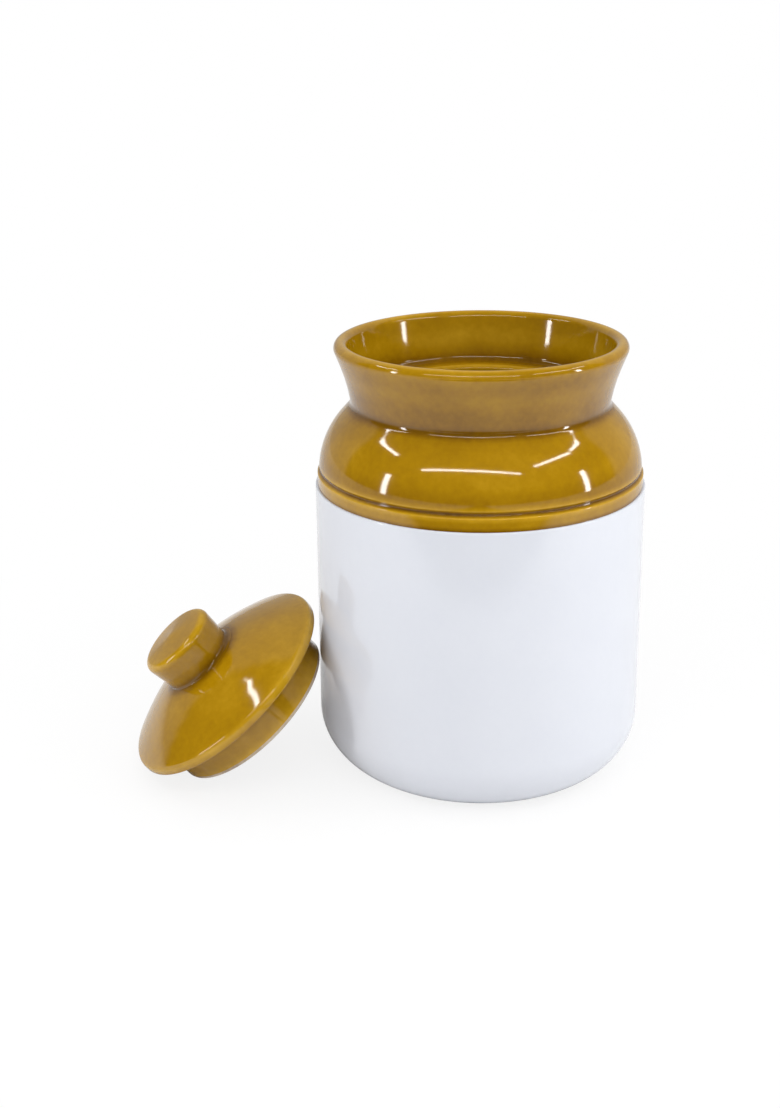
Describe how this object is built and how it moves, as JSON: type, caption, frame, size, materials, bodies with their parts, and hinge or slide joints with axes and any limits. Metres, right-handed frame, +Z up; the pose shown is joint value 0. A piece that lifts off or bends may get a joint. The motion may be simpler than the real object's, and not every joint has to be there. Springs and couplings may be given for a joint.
{
  "type": "water seal pickle jar",
  "caption": "Round stoneware pickle jar in white and amber glazes, with a flared collar over a lid seat, and its loose knobbed lid leaning against it.",
  "frame": {"origin": "centre of the vessel's foot ring, on the plane that it stands on", "axes": "+Z up along the vessel's axis, -X towards the leaning lid, -Y towards the viewer"},
  "size_m": [0.2069, 0.1312, 0.175],
  "materials": {
    "clay": "matte",
    "white_glaze": "gloss",
    "amber_glaze": "gloss",
    "liner_glaze": "gloss"
  },
  "bodies": {
    "jar": {"jar_body": "clay", "white_glaze": "white_glaze", "amber_glaze": "amber_glaze", "liner_glaze": "liner_glaze"},
    "lid": {"lid_body": "clay", "lid_knob": "clay", "lid_glaze": "amber_glaze"}
  },
  "joints": [
    {"name": "lid_lift", "type": "slide", "parent": "jar", "child": "lid", "axis": [0, 0, 1], "range_m": [0, 0.2]}
  ]
}
